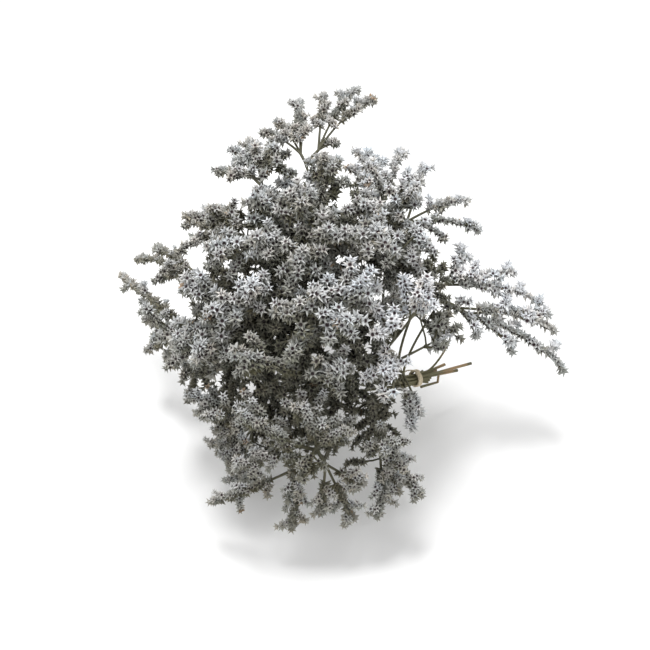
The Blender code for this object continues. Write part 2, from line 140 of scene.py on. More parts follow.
# Dome that the inner spikes reach
DOME_CENTRE = (-2, 52, 72)
DOME_RADIUS = 112
DOME_SPREAD = math.radians(68)
DOME_AXIS = (-0.06, -0.70, 0.71)
DOME_SPIKES = 62
DOME_CROWDING = 0.62
DOME_CLEARANCE = 16
DOME_ROUGHNESS = 7
DOME_LEFT_SHARE = 0.92
DOME_RIGHT = 62
DOME_SEED = 11
WINDOW_AXIS = (-0.11, -0.72, 0.69)
TIE_WINDOW = 22
TUFT_WINDOW = TIE_WINDOW / 3
BARE_SIDE = 44
BARE_LEVEL = 100
BARE_SLOPE = 0.84
GOLDEN_ANGLE = math.pi * (3 - math.sqrt(5))

# How far behind the tie each sight line to the bundle ends, how wide it stays clear, and the share
# of its length next to the bundle that is left alone
TIE_SIGHTS = ((-24, 3), (-14, 4), (-6, 6), (0, 8), (8, 8), (16, 7), (26, 6), (36, 6), (44, 5))
SIGHT_START = 0.01

# Places on the floor that are seen through the gap above the tie, and how wide each sight line is
GAP_SIGHTS = (((56, 98, 20), 9), ((66, 98, 22), 8.5), ((62, 106, 30), 7))

# Short side spikes along the outer spikes
LIMB_FROM = math.radians(50)
SPRIG_FIRST = 0.3
SPRIG_LAST = 0.72
SPRIG_SHIFT_RANGE = (0.92, 1.08)
SPRIG_ANGLE = math.radians(40)
SPRIG_TURN_RANGE = (0.8, 1.2)
SPRIG_LIFT_RANGE = (0, 0.5)
SPRIG_REACH = 0.5
SPRIG_REACH_RANGE = (0.85, 1.15)
SPRIG_SHORTENING = 1.2
SPRIG_HANDLES = (0.35, 0.3)
SPRIG_ARCH = 0.14
SPRIG_FLOOR = 2 * STEM_RADIUS
SPRIG_RADIUS = 0.42
SPRIG_BARE = 0.1
SPRIG_STEPS = 6

# How full the outer spikes of a spray are: number and greatest length of their side spikes,
# how far round the stars stand, in degrees, the share of stars on a long foot and the bare share
FULLNESS = {
    "top": (3, 9, 110, 0.5, 0.42), "top_right": (2, 9, 85, 0.25, 0.3),
    "upper_left": (3, 9, 110, 0.5, 0.4), "right_upper": (3, 10, 62, 0.15, 0.2),
    "right": (3, 12, 62, 0.08, 0.14), "tie_side": (2, 7, 80, 0.2, 0.3),
    "left": (3, 8, 85, 0.3, 0.3), "left_top": (3, 9, 90, 0.4, 0.3),
    "left_low": (3, 10, 85, 0.3, 0.25), "bottom_left": (4, 13, 110, 0.4, 0.28),
    "bottom": (4, 11, 110, 0.4, 0.28), "bottom_right": (4, 12, 110, 0.4, 0.3),
    "back": (6, 20, 110, 0.4, 0.2),
}
INNER_FULLNESS = (3, 10, 110, 0.4, 0.25)

# Shorter spikes between the outer ones of the fuller sprays
FULL_SPRAYS = {"left_low", "bottom_left"}
BETWEEN_LONGEST = 60
BETWEEN_REACH = 0.92

# Tuft of short spikes at the end of each inner spike
TUFT_SPRIGS = 8
TUFT_RADIUS = 15
TUFT_SIZE_RANGE = (0.75, 1.15)
TUFT_CURVE = 10
TUFT_ROUGHNESS = 5
TUFT_FLARE = 0.8
TUFT_DEPTH = 17
TUFT_SPLAY = 0.5
TUFT_LOWEST = 0.2
TUFT_HANDLES = (0.3, 0.35)
TUFT_BARE = 0.42
TUFT_ARC = math.radians(120)
TUFT_LEAN = 0.7
TUFT_LONG_SHARE = 0.15

# Spikes that close the depth between the tufts. Each shell has its share of the dome's radius, its
# number of spikes and its spread in degrees
FILL_SHELLS = ((0.78, 300, 70), (0.66, 300, 80), (0.5, 180, 92))
FILL_REACH_RANGE = (0.95, 1.04)
FILL_CLEARANCE = 7.5
FILL_SHORTEST = 12
FILL_LONGEST = 44
FILL_BEND = 0.3
FILL_STEM_POINTS = 5

# Stars
STAR_LOBES = 5
STAR_SIZE_RANGE = (0.74, 1.16)
STAR_TILT_RANGE = (0.8, 1.2)
NOTCH_LEVEL = 0.74
THROAT_LEVEL = 0.5
LONG_FOOT = 1.5
STAR_STEP = 0.4
STAR_TILT = math.radians(64)
CROWN_DEPTH = 4.5
TIP_INSET = 1.4
GOLDEN_SHARE = (math.sqrt(5) - 1) / 2
STAR_CLEARANCE = 2.5
FLOOR_GAP = 0.4

# Where a point of a star lies on its fold, from the seat over the rim to the throat
SEAT_FOLD = 0
RIM_FOLD = 1
THROAT_FOLD = 2

# Painted shade on the stars, darker and more olive: toward the foot of a spike or a tuft, on those
# that face down, away from the light's way, and on those in the depth of the head
PAINTED_FOOT_SHADE = 0.5
PAINTED_TUFT_FOOT_SHADE = 0.8
PAINTED_UNDER_SHADE = 0.5
UNDER_WAY = (0.05, 0.45, 0.89)
PAINTED_DEPTH_SHADE = 0.7
DEEP_SHARE = 0.6

# A place on the head's face where the sprays part and its dark depth shows; its stars also get
# painted shade
HOLLOW = (-22, -37, 131)
HOLLOW_REACH = 15

# Patches of painted shade on the head's stars, or of painted light below zero, the first two in and
# by the
# hollow: the middle of the place, its reach and how much painted shade
PAINTED_PATCHES = (
    (HOLLOW, 26, 0.2), ((-12, -27, 145), 16, 0.15),
    ((26, 14, 142), 42, -0.24), ((38, -33, 126), 26, -0.22), ((-40, 3, 158), 26, -0.15),
    ((60, 0, 122), 38, -0.2), ((92, 38, 92), 38, -0.2), ((2, 36, 178), 30, 0.12),
)

# Each spray: where its stem forks, then the tips of its outer spikes
SPRAYS = {
    "top": ((-11, 105, 153), (
        (31, 152, 175), (21, 161, 178), (0, 157, 176), (-16, 154, 173),
        (-31, 143, 164), (-39, 137, 159), (8, 125, 158), (-12, 131, 168),
    )),
    "top_right": ((36, 60, 140), (
        (17, 112, 161), (30, 109, 158), (58, 106, 154), (85, 89, 140), (90, 72, 129),
        (11, 95, 159), (21, 79, 156), (69, 60, 131), (45, 112, 161),
    )),
    "right_upper": ((56, 40, 112), (
        (113, 62, 106), (80, 66, 122), (125, 54, 92), (92, 53, 113), (101, 49, 101),
    )),
    "right": ((66, 37, 104), (
        (143, 29, 58), (134, 50, 84), (137, 42, 78), (87, 28, 86), (110, 28, 74), (82, 35, 106),
    )),
    "tie_side": ((31, -1, 101), ((52, -16, 67), (73, 25, 93), (34, -38, 108), (48, -25, 65))),
    "bottom_right": ((26, -24, 66), (
        (52, -53, 43), (41, -55, 65), (39, -54, 46), (28, -63, 37), (30, -55, 81), (40, -15, 0),
    )),
    "bottom": ((-4, -48, 76), (
        (-18, -63, 27), (-63, -50, 34), (16, -61, 33), (-2, -63, 40), (-13, -61, 68), (21, -55, 56),
    )),
    "bottom_left": ((-36, -6, 62), ((-68, -7, 31), (-52, -41, 53), (-50, -15, 0))),
    "left_low": ((-55, 32, 78), (
        (-93, 48, 43), (-113, 62, 45), (-113, 77, 54), (-140, 122, 61), (-81, 24, 38),
    )),
    "left": ((-60, 61, 98), ((-128, 124, 72), (-111, 117, 87), (-108, 103, 70))),
    "left_top": ((-45, 72, 123), (
        (-90, 116, 104), (-78, 115, 111), (-67, 113, 120), (-57, 103, 120),
    )),
    "upper_left": ((-37, 95, 144), (
        (-68, 125, 138), (-57, 132, 151), (-47, 136, 155), (-37, 120, 155),
    )),
    "back": ((-10, 66, 88), ((-10, 95, 0), (-48, 112, 36), (30, 122, 42), (-8, 140, 70))),
    "face_upper": ((-8, 28, 134), ((-22, 79, 162), (-4, 84, 164), (-34, 80, 154))),
    "face": ((2, 2, 116), ()),
    "face_left": ((-29, 13, 108), ()),
    "face_low": ((-6, -14, 92), ()),
}
FOOT_OF_BACK = (-10, 95, 0)

# Looks of each spray's stars: their size, how warm their colour is, how far they turn to the head's
# face and how much painted shade, or painted light below zero, they get
SPRAY_LOOKS = {
    "top": (0.78, 0.2, 1.2, 0.16),
    "top_right": (0.84, 0.06, 0.5, 0),
    "right_upper": (0.9, 0.06, 0.1, -0.02),
    "right": (1.0, 0.06, 0.1, 0.04),
    "tie_side": (0.9, 0.06, 1.2, -0.22),
    "bottom_right": (0.68, 0.12, 1.2, 0.12),
    "bottom": (0.66, 0.15, 1.2, 0.12),
    "bottom_left": (0.66, 0.15, 1.2, 0.12),
    "left_low": (0.8, 0.12, 0.2, 0.16),
    "left": (0.78, 0.2, 0.2, 0.22),
    "left_top": (0.8, 0.25, 0.5, 0.14),
    "upper_left": (0.8, 0.06, 1.2, 0.12),
    "back": (0.88, 0.25, 1.2, 0),
    "face_upper": (0.9, 0.06, 1.2, 0.08),
    "face": (0.96, 0.06, 1.2, 0),
    "face_left": (0.94, 0.06, 1.2, 0),
    "face_low": (0.85, 0.06, 1.2, 0.08),
}

# Tone of a star, from cool to tan: the middle, the share of its spray's warmth, and how far spikes,
# single stars and patches of a spray scatter
MIDDLE_TONE = 0.25
WARMTH_SHARE = 0.5
SPIKE_SCATTER = 0.12
STAR_SCATTER = 0.1
PATCH_SCATTER = 0.3

# Colours of a star by its tone, by its painted shade and by its veins
TINTS = (
    (0.0, (0.91, 0.96, 1.0)), (0.35, (0.99, 0.99, 1.0)), (0.6, (1.0, 0.94, 0.87)),
    (0.85, (0.86, 0.74, 0.62)), (1.0, (0.72, 0.52, 0.36)),
)
SHADES = (
    (0.0, (1, 1, 1)), (0.45, (0.47, 0.46, 0.41)), (0.75, (0.2, 0.19, 0.13)),
    (1.0, (0.13, 0.12, 0.06)),
)
VEINS = ((0.3, (0.88, 0.88, 0.88)), (0.6, (1, 1, 1)))

# Bark: the shares of patches and streaks in its shade, the level and the contrast of its brown
# patches, and where the brown behind the tie starts and the lighter olive near it fades. Growth and
# fading are for each metre
PATCH_SHARE = 0.6
STREAK_SHARE = 0.4
BROWN_LEVEL = 0.42
BROWN_CONTRAST = 8
BROWN_START = 0.6
BROWN_GROWTH = 60.0
TIED_START = 1.2
TIED_FADING = 16.0
TIED_SHARE = 0.7

# Camera, floor and light
CAMERA_TARGET = (0, 0, 118)
CAMERA_DISTANCE = 420
CAMERA_ELEVATION = math.radians(40)
CAMERA_LENS = 44.3
NEAREST_IN_METRES = 0.01
FLOOR_REACH_IN_METRES = 4.0
LAMP_SIZE_IN_METRES = 0.45
LAMP_PLACE_IN_METRES = (-0.13, 0.14, 1.22)


def mm(point):
    """A point given in millimetres, in metres."""
    return Vector(point) * MM


def table_shift():
    """Where the table's origin lies in the frame, from the foot that the record states."""
    rest = next(mount for mount in frame["record"]["mounts"] if mount["name"] == "rest_back")
    return Vector(rest["pos_m"]) - mm(FOOT_OF_BACK)


def bezier(ends, handles, count):
    """Evenly stepped points of a cubic curve."""
    start, end = ends
    first, second = handles
    points = []
    for step in range(count + 1):
        t = step / count
        s = 1 - t
        points.append(
            start * s ** 3 + first * 3 * s * s * t + second * 3 * s * t * t + end * t ** 3
        )
    return points


def across(direction):
    """Two directions at right angles to one another and to a direction."""
    side = direction.orthogonal().normalized()
    return side, direction.cross(side).normalized()


def bundle_slots(count):
    """Places in a hexagonal packing, nearest the middle first."""
    step = 2 * STEM_RADIUS + STEM_GAP
    places = []
    rows = range(-SLOT_ROWS, SLOT_ROWS + 1)
    for row in rows:
        for column in rows:
            places.append(Vector((column + row / 2, row * math.sqrt(3) / 2)) * step * MM)
    places.sort(key=lambda place: (round(place.length, 6), math.atan2(place.y, place.x)))
    return places[:count]


def bundle_radius():
    """Reach of the outermost stem's surface from the middle of the tie."""
    return bundle_slots(len(SPRAYS))[-1].length / MM + STEM_RADIUS


def hand_out_slots():
    """Give each stem the place on the side that it leaves for, so none cross."""
    side, up = across(STEM_WAY)
    names = list(SPRAYS)
    slots = bundle_slots(len(names))
    wish = {}
    for name in names:
        reach = mm(SPRAYS[name][0]) - mm(TIE_POINT)
        lean_out = reach.angle(STEM_WAY)
        wish[name] = Vector((reach.dot(side), reach.dot(up))).normalized() * lean_out
    order = dict(zip(names, range(len(names))))
    improved = True
    while improved:
        improved = False
        for one in names:
            for other in names:
                here, there = slots[order[one]], slots[order[other]]
                gain = (wish[one] - wish[other]).dot(there - here)
                if gain > LEAST_GAIN * MM:
                    order[one], order[other] = order[other], order[one]
                    improved = True
    return {name: side * slots[order[name]].x + up * slots[order[name]].y for name in names}


def dome_ways(count, spread, crowding):
    """Directions in a golden spiral round the dome's axis."""
    axis = Vector(DOME_AXIS).normalized()
    side, up = across(axis)
    for index in range(count):
        tilt = spread * ((index + 0.5) / count) ** crowding
        turn = index * GOLDEN_ANGLE
        way = side * math.cos(turn) + up * math.sin(turn)
        yield axis * math.cos(tilt) + way * math.sin(tilt)


def in_window(point, radius):
    """Whether a point stands in the clear way through which the tie is seen."""
    window = Vector(WINDOW_AXIS).normalized()
    sight = point - mm(TIE_POINT)
    return (sight - window * sight.dot(window)).length < radius * MM


def eye_way():
    """The direction from the camera's target to the camera."""
    return Vector((0, -math.cos(CAMERA_ELEVATION), math.sin(CAMERA_ELEVATION)))


def eye_place():
    """Where the camera stands, in the table's own place."""
    return mm(CAMERA_TARGET) + eye_way() * CAMERA_DISTANCE * MM


def hides_tie(point):
    """Whether a point stands in front of the tie, the cut ends, the bundled stems or the gap."""
    tie_places = [(mm(TIE_POINT) - STEM_WAY * reach * MM, radius) for reach, radius in TIE_SIGHTS]
    gap_places = [(mm(place), radius) for place, radius in GAP_SIGHTS]
    for seen, radius in tie_places + gap_places:
        sight = eye_place() - seen
        share = (point - seen).dot(sight) / sight.length_squared
        if share > SIGHT_START and (point - seen - sight * share).length < radius * MM:
            return True
    return False


def on_bare_side(point):
    """Whether a point lies on the side of the cut stem ends, where no spray grows."""
    level = point.z + point.y * BARE_SLOPE
    return point.x > BARE_SIDE * MM and level < BARE_LEVEL * MM


def dome_point(way, reach):
    """The point that lies a reach from the dome's middle; the dome is narrower on its left."""
    offset = way * reach * MM
    offset.x *= DOME_LEFT_SHARE if offset.x < 0 else 1
    return mm(DOME_CENTRE) + offset


def dome_tips():
    """Tips of the inner spikes, in a golden spiral over the dome, by spray."""
    draw = random.Random(DOME_SEED)
    taken = [mm(tip) for _, tips in SPRAYS.values() for tip in tips]
    found = {name: [] for name in SPRAYS}
    for way in dome_ways(DOME_SPIKES, DOME_SPREAD, DOME_CROWDING):
        reach = DOME_RADIUS + draw.uniform(-DOME_ROUGHNESS, DOME_ROUGHNESS)
        tip = dome_point(way, reach)
        if min((tip - other).length for other in taken) < DOME_CLEARANCE * MM:
            continue
        if tip.x > DOME_RIGHT * MM:
            continue
        if in_window(tip, TIE_WINDOW) or on_bare_side(tip):
            continue
        name = min(SPRAYS, key=lambda spray: (mm(SPRAYS[spray][0]) - tip).length)
        found[name].append(tip)
    return found


def branch_groups(fork, tips):
    """Sort the tips round the fork's own axis and share them out between branches."""
    heading = sum(tips, Vector()) / len(tips) - fork
    side, up = across(heading.normalized())
    ordered = sorted(
        tips, key=lambda tip: math.atan2((tip - fork).dot(up), (tip - fork).dot(side))
    )
    branches = max(1, round(len(ordered) / SPIKES_PER_BRANCH))
    size = math.ceil(len(ordered) / branches)
    return [ordered[first:first + size] for first in range(0, len(ordered), size)]


def outward(point, tangent):
    """The direction away from the dome's middle and up, square to a tangent."""
    away = (point - mm(DOME_CENTRE)).normalized() + Vector((0, 0, ARCH_UPLIFT))
    away -= tangent * away.dot(tangent)
    return away.normalized()


def stub_path(name, slot):
    """Points of a stem's cut end behind the tie, end first."""
    tie = mm(TIE_POINT) + slot
    short = tie - STEM_WAY * SHORT_STUB * MM
    if name == FOLDED_STUB:
        corner = tie + slot * STUB_SPREAD - STEM_WAY * FOLD_LENGTH * MM
        below = corner - Vector((0, 0, FOLD_DROP * MM))
        return [below + STEM_WAY * FOLD_RETURN * MM, below, corner, short]
    if name == CURLED_STUB:
        end = short + mm(CURL_REACH)
        drop = Vector((0, 0, (end.z - short.z) / 2))
        return bezier((end, short), (end - drop, short - STEM_WAY * CURL_START * MM), CURL_STEPS)
    length = STUB_LENGTHS.get(name, SHORT_STUB)
    return [tie + slot * STUB_SPREAD * length / SHORT_STUB / 2 - STEM_WAY * length * MM]


def stem_path(name, slot):
    """Centre line of a stem: stub, tie, then a sweep up to the fork."""
    tie = mm(TIE_POINT) + slot
    fork = mm(SPRAYS[name][0])
    behind = tie - STEM_WAY * TIE_WIDTH * MM
    leave = tie + STEM_WAY * TIE_WIDTH * MM
    reach = (fork - leave).length
    heading = (fork - leave) / reach + (fork - mm(DOME_CENTRE)).normalized() * SWEEP_BULGE
    heading.normalize()
    handles = (leave + STEM_WAY * reach * SWEEP_START, fork - heading * reach * SWEEP_END)
    return stub_path(name, slot) + [behind] + bezier((leave, fork), handles, SWEEP_STEPS)


def spike_path(fork, tip):
    """Centre line of a spike, which arches outward and droops at its tip."""
    tip = Vector((tip.x, tip.y, max(tip.z, FOOT_LIFT * MM)))
    span = tip - fork
    middle = fork + span * 0.5
    lift = outward(middle, span.normalized()) * span.length * ARCH_SHARE
    return bezier((fork, tip), [fork + span * share + lift for share in ARCH_HANDLES], SPIKE_STEPS)


def between_tips(split, group):
    """Tips of shorter spikes, one between each two neighbours of a branch."""
    for one, other in zip(group, group[1:]):
        if (one - other).length < BETWEEN_LONGEST * MM:
            yield split + ((one + other) / 2 - split) * BETWEEN_REACH


def spray_plan(name, slot, inner_tips):
    """Centre lines of one spray: its stem, its branches and its spikes."""
    fork = mm(SPRAYS[name][0])
    tips = [mm(tip) for tip in SPRAYS[name][1]] + inner_tips
    plan = {kind: [] for kind in ("branches", "spikes", "sprigs", "tufts", "fills")}
    plan["stem"] = stem_path(name, slot)
    for group in branch_groups(fork, tips):
        mean = sum(group, Vector()) / len(group)
        split = fork + (mean - fork) * FORK_SHARE
        bend = (fork - mm(DOME_CENTRE)).normalized() * (split - fork).length * BRANCH_BEND
        handles = (fork + bend, split - (mean - split) * BRANCH_LEAD)
        plan["branches"].append(bezier((fork, split), handles, BRANCH_STEPS))
        plan["spikes"] += [spike_path(split, tip) for tip in group]
        if name in FULL_SPRAYS:
            plan["spikes"] += [spike_path(split, tip) for tip in between_tips(split, group)]
    return plan


def along(path, distance):
    """Point and tangent at a distance from the start of a path."""
    for here, there in zip(path, path[1:]):
        length = (there - here).length
        if distance <= length or there is path[-1]:
            return here.lerp(there, min(1, distance / length)), (there - here).normalized()
        distance -= length
    raise ValueError("the path has no length")


def path_length(path):
    """Length of a path."""
    return sum((there - here).length for here, there in zip(path, path[1:]))


def frame_at(path, distance):
    """Point, tangent, outer side and flank at a distance along a spike."""
    point, tangent = along(path, distance)
    chord = path[-1] - path[0]
    out = outward(path[0] + chord / 2, chord.normalized())
    out = (out - tangent * out.dot(tangent)).normalized()
    return point, tangent, out, tangent.cross(out)


class Crowd:
    """Remembers where stars or spike tips stand, so that none stands inside another."""

    def __init__(self, clearance):
        self.clearance = clearance
        self.cells = {}

    def cell(self, point):
        """The cell of space that holds a point."""
        return tuple(math.floor(value / self.clearance) for value in point)

    def admits(self, point, share=1.0):
        """Whether a star, of a share of the full size, may stand at a point; it is then kept."""
        x, y, z = self.cell(point)
        for i in (x - 1, x, x + 1):
            for j in (y - 1, y, y + 1):
                for k in (z - 1, z, z + 1):
                    for other in self.cells.get((i, j, k), ()):
                        if (other - point).length < self.clearance * share:
                            return False
        self.cells.setdefault((x, y, z), []).append(point)
        return True


def lean(point):
    """Angle between the dome's axis and the way from its middle to a point."""
    return (point - mm(DOME_CENTRE)).angle(Vector(DOME_AXIS))


def side_sprigs(path, count, longest, draw):
    """Short side spikes that leave a spike by turns to its two sides."""
    total = path_length(path)
    sprigs = []
    for index in range(count):
        share = SPRIG_FIRST + (SPRIG_LAST - SPRIG_FIRST) * index / max(1, count - 1)
        point, tangent, out, side = frame_at(path, total * share * draw.uniform(*SPRIG_SHIFT_RANGE))
        hand = 1 if index % 2 else -1
        angle = SPRIG_ANGLE * draw.uniform(*SPRIG_TURN_RANGE)
        heading = tangent * math.cos(angle) + side * hand * math.sin(angle)
        heading = (heading + out * draw.uniform(*SPRIG_LIFT_RANGE)).normalized()
        reach = min(total * SPRIG_REACH * (SPRIG_SHORTENING - share), longest * MM)
        reach *= draw.uniform(*SPRIG_REACH_RANGE)
        end = point + heading * reach
        end.z = max(end.z, SPRIG_FLOOR * MM)
        if hides_tie(end):
            continue
        first, last = SPRIG_HANDLES
        landing = end - heading * reach * last + out * reach * SPRIG_ARCH
        handles = (point + tangent * reach * first, landing)
        sprigs.append(bezier((point, end), handles, SPRIG_STEPS))
    return sprigs


def tuft_sprigs(path, draw):
    """Short spikes that spread from the end of a spike to a small rounded cap."""
    total = path_length(path)
    tip, heading = along(path, total)
    way = ((tip - mm(DOME_CENTRE)).normalized() + heading * TUFT_LEAN).normalized()
    side, up = across(way)
    start = draw.uniform(0, 2 * math.pi)
    size = draw.uniform(*TUFT_SIZE_RANGE)
    first, last = TUFT_HANDLES
    sprigs = []
    for index in range(TUFT_SPRIGS):
        spread = TUFT_RADIUS * size * math.sqrt(index / TUFT_SPRIGS)
        turn = start + index * GOLDEN_ANGLE
        spoke = side * math.cos(turn) + up * math.sin(turn)
        rough = draw.uniform(-TUFT_ROUGHNESS, TUFT_ROUGHNESS)
        drop = spread * spread / (2 * TUFT_CURVE) + rough
        end = tip + (spoke * spread - way * drop) * MM
        if hides_tie(end) or on_bare_side(end) or in_window(end, TUFT_WINDOW):
            continue
        if index and (end - mm(HOLLOW)).length < HOLLOW_REACH * MM:
            continue
        depth = (TUFT_DEPTH + spread * TUFT_SPLAY) * MM
        root, tangent = along(path, max(total * TUFT_LOWEST, total - depth))
        reach = (end - root).length
        normal = (way + spoke * spread / TUFT_CURVE * TUFT_FLARE).normalized()
        handles = (root + tangent * reach * first, end - normal * reach * last)
        sprigs.append(bezier((root, end), handles, SPRIG_STEPS))
    return sprigs


def fill_sprigs(plans):
    """Short spikes that close the depth of the dome, each from the nearest spike."""
    draw = random.Random(DOME_SEED)
    joints = []
    for name, plan in plans.items():
        for path in plan["spikes"] + plan["branches"]:
            joints += [(name, point) for point in path[1:-1]]
        joints += [(name, point) for point in plan["stem"][-FILL_STEM_POINTS:]]
    tree = KDTree(len(joints))
    for index, (_, point) in enumerate(joints):
        tree.insert(point, index)
    tree.balance()
    crowd = Crowd(FILL_CLEARANCE * MM)
    for share, count, spread in FILL_SHELLS:
        for way in dome_ways(count, math.radians(spread), DOME_CROWDING):
            tip = dome_point(way, DOME_RADIUS * share * draw.uniform(*FILL_REACH_RANGE))
            if tip.z < FILL_SHORTEST * MM or hides_tie(tip) or on_bare_side(tip):
                continue
            place, index = tree.find(tip - way * FILL_SHORTEST * MM)[:2]
            reach = (tip - place).length
            if not FILL_SHORTEST * MM / 2 < reach < FILL_LONGEST * MM or not crowd.admits(tip):
                continue
            bend = way * reach * FILL_BEND
            path = bezier((place, tip), (place + bend, tip - bend), SPRIG_STEPS)
            plans[joints[index][0]]["fills"].append(path)


def grow_bunch():
    """Centre lines of every spray, in the table's own place."""
    slots = hand_out_slots()
    inner = dome_tips()
    plans = {name: spray_plan(name, slots[name], inner[name]) for name in SPRAYS}
    for name, plan in plans.items():
        draw = random.Random(name)
        for path in plan["spikes"]:
            if lean(path[-1]) < LIMB_FROM:
                plan["tufts"] += tuft_sprigs(path, draw)
            else:
                count, longest = FULLNESS.get(name, INNER_FULLNESS)[:2]
                plan["sprigs"] += side_sprigs(path, count, longest, draw)
    fill_sprigs(plans)
    return plans


def new_object(name, data):
    """A new object in the scene."""
    made = bpy.data.objects.new(name, data)
    bpy.context.scene.collection.objects.link(made)
    return made


def tubes(name, pairs, rounding):
    """One mesh of round closed tubes, from pairs of a path and its radii."""
    curve = bpy.data.curves.new(name, "CURVE")
    curve.dimensions = "3D"
    curve.bevel_depth = MM
    curve.bevel_resolution = rounding
    curve.use_fill_caps = True
    for points, radii in pairs:
        spline = curve.splines.new("POLY")
        spline.points.add(len(points) - 1)
        for knot, point, radius in zip(spline.points, points, radii):
            knot.co = (*point, 1)
            knot.radius = radius
    source = new_object(name, curve)
    graph = bpy.context.evaluated_depsgraph_get()
    mesh = bpy.data.meshes.new_from_object(source.evaluated_get(graph))
    bpy.data.objects.remove(source)
    bpy.data.curves.remove(curve)
    return mesh


def taper(start, end, count):
    """Radii that change evenly from one value to another."""
    return [start + (end - start) * step / (count - 1) for step in range(count)]


def stem_radii(name, count):
    """Radii of a stem: its cut end, the tie, then a taper up to the fork."""
    radii = [TIED_RADIUS] * (count - SWEEP_STEPS) + taper(TIED_RADIUS, FORK_RADIUS, SWEEP_STEPS)
    if name in STUB_LENGTHS:
        radii[0] = STUB_END_RADIUS
    if name == FOLDED_STUB:
        radii[:FOLD_POINTS] = [FOLD_RADIUS] * FOLD_POINTS
    return radii


def spray_tubes(name, plan, share):
    """Each centre line of a spray with its radii, a share of the usual ones past the fork."""
    end = SPIKE_END_RADIUS * share
    sprigs = plan["sprigs"] + plan["tufts"] + plan["fills"]
    pairs = [(plan["stem"], stem_radii(name, len(plan["stem"])))]
    pairs += [(path, [BRANCH_RADIUS * share] * len(path)) for path in plan["branches"]]
    pairs += [(path, taper(SPIKE_RADIUS * share, end, len(path))) for path in plan["spikes"]]
    pairs += [(path, taper(SPRIG_RADIUS * share, end, len(path))) for path in sprigs]
    return pairs


def finished_piece(name, mesh, surfacing, nodes):
    """Put a mesh in the frame as a piece that stands for some of the part's nodes."""
    mesh.transform(Matrix.Translation(table_shift()))
    mesh.materials.clear()
    mesh.materials.append(surfacing)
    piece = new_object(name, mesh)
    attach(piece, "root")
    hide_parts(*nodes)


def star_template(settings, foot):
    """One star: a pleated funnel on a foot, with five pointed lobes round a dark throat."""
    bm = bmesh.new()
    fold = bm.verts.layers.float.new("fold")
    made = bmesh.ops.create_cone(
        bm, cap_ends=True, cap_tris=True, segments=2 * STAR_LOBES,
        radius1=settings.star_radius, radius2=0, depth=settings.star_height,
    )["verts"]
    rim = [vert for vert in made if vert.co.xy.length > settings.star_radius / 2]
    seat, throat = sorted(set(made) - set(rim), key=lambda vert: vert.co.z)
    rim.sort(key=lambda vert: math.atan2(vert.co.y, vert.co.x))
    for index, vert in enumerate(rim):
        vert[fold] = RIM_FOLD
        vert.co.z = foot + settings.star_height
        if index % 2:
            vert.co.xy *= settings.notch_share
            vert.co.z = foot + settings.star_height * NOTCH_LEVEL
            vert[fold] = THROAT_FOLD - settings.notch_share
    seat.co.z, throat.co.z = 0, foot + settings.star_height * THROAT_LEVEL
    seat[fold], throat[fold] = SEAT_FOLD, THROAT_FOLD
    mesh = bpy.data.meshes.new("star")
    bm.to_mesh(mesh)
    bm.free()
    mesh.attributes.new("tone", "FLOAT", "POINT")
    mesh.attributes.new("shade", "FLOAT", "POINT")
    return mesh


def aim(place, axis, roll, size):
    """Matrix that stands a shape at a place along an axis, rolled and sized."""
    turn = axis.to_track_quat("Z", "Y").to_matrix().to_4x4()
    return Matrix.Translation(place) @ turn @ Matrix.Rotation(roll, 4, "Z") @ Matrix.Scale(size, 4)


def add_star(bm, template, stand, tone, shade):
    """Add a star to a spray's mesh where it stands, with its own tone and shade."""
    star = template.copy()
    for name, value in (("tone", tone), ("shade", shade)):
        star.attributes[name].data.foreach_set("value", [value] * len(star.vertices))
    star.transform(stand)
    bm.from_mesh(star)
    bpy.data.meshes.remove(star)


def star_seats(path, bare, arc, facing, draw):
    """Place, axis and nearness to the foot of each star that a spike could carry, tip first."""
    total = path_length(path)
    first = distance = total - TIP_INSET * MM
    count = 0
    while distance > total * bare:
        point, tangent, out = frame_at(path, distance)[:3]
        out = out + Vector(DOME_AXIS) * facing
        out = (out - tangent * out.dot(tangent)).normalized()
        side = tangent.cross(out)
        opened = min(1, (first - distance) / (CROWN_DEPTH * MM))
        tilt = STAR_TILT * math.sqrt(opened) * draw.uniform(*STAR_TILT_RANGE)
        reach = math.pi + (arc - math.pi) * opened
        turn = reach * (2 * (count * GOLDEN_SHARE % 1) - 1)
        spoke = out * math.cos(turn) + side * math.sin(turn)
        yield point, tangent * math.cos(tilt) + spoke * math.sin(tilt), 1 - distance / total
        distance -= STAR_STEP * MM
        count += 1


def spikes_to_dress(name, plan):
    """Each spike of a spray with how it is dressed.

    These are its bare share, how far round its stars stand, the share of stars on a long foot and
    how much painted shade its stars get toward its foot. Spikes in the depth get an even painted
    shade, so theirs is None.
    """
    arc, long_share, spike_bare = FULLNESS.get(name, INNER_FULLNESS)[2:]
    arc = math.radians(arc)
    for path in plan["spikes"]:
        yield path, spike_bare, arc, long_share, PAINTED_FOOT_SHADE
    for path in plan["tufts"]:
        yield path, TUFT_BARE, TUFT_ARC, TUFT_LONG_SHARE, PAINTED_TUFT_FOOT_SHADE
    for path in plan["sprigs"]:
        yield path, SPRIG_BARE, arc, long_share, 0
    for path in plan["fills"]:
        yield path, TUFT_BARE, math.pi, 0, None


def patch_shade(point):
    """How much painted shade, or painted light below zero, the stars at a point get."""
    return sum(
        shade * max(0, 1 - (point - mm(middle)).length_squared / (reach * MM) ** 2)
        for middle, reach, shade in PAINTED_PATCHES
    )


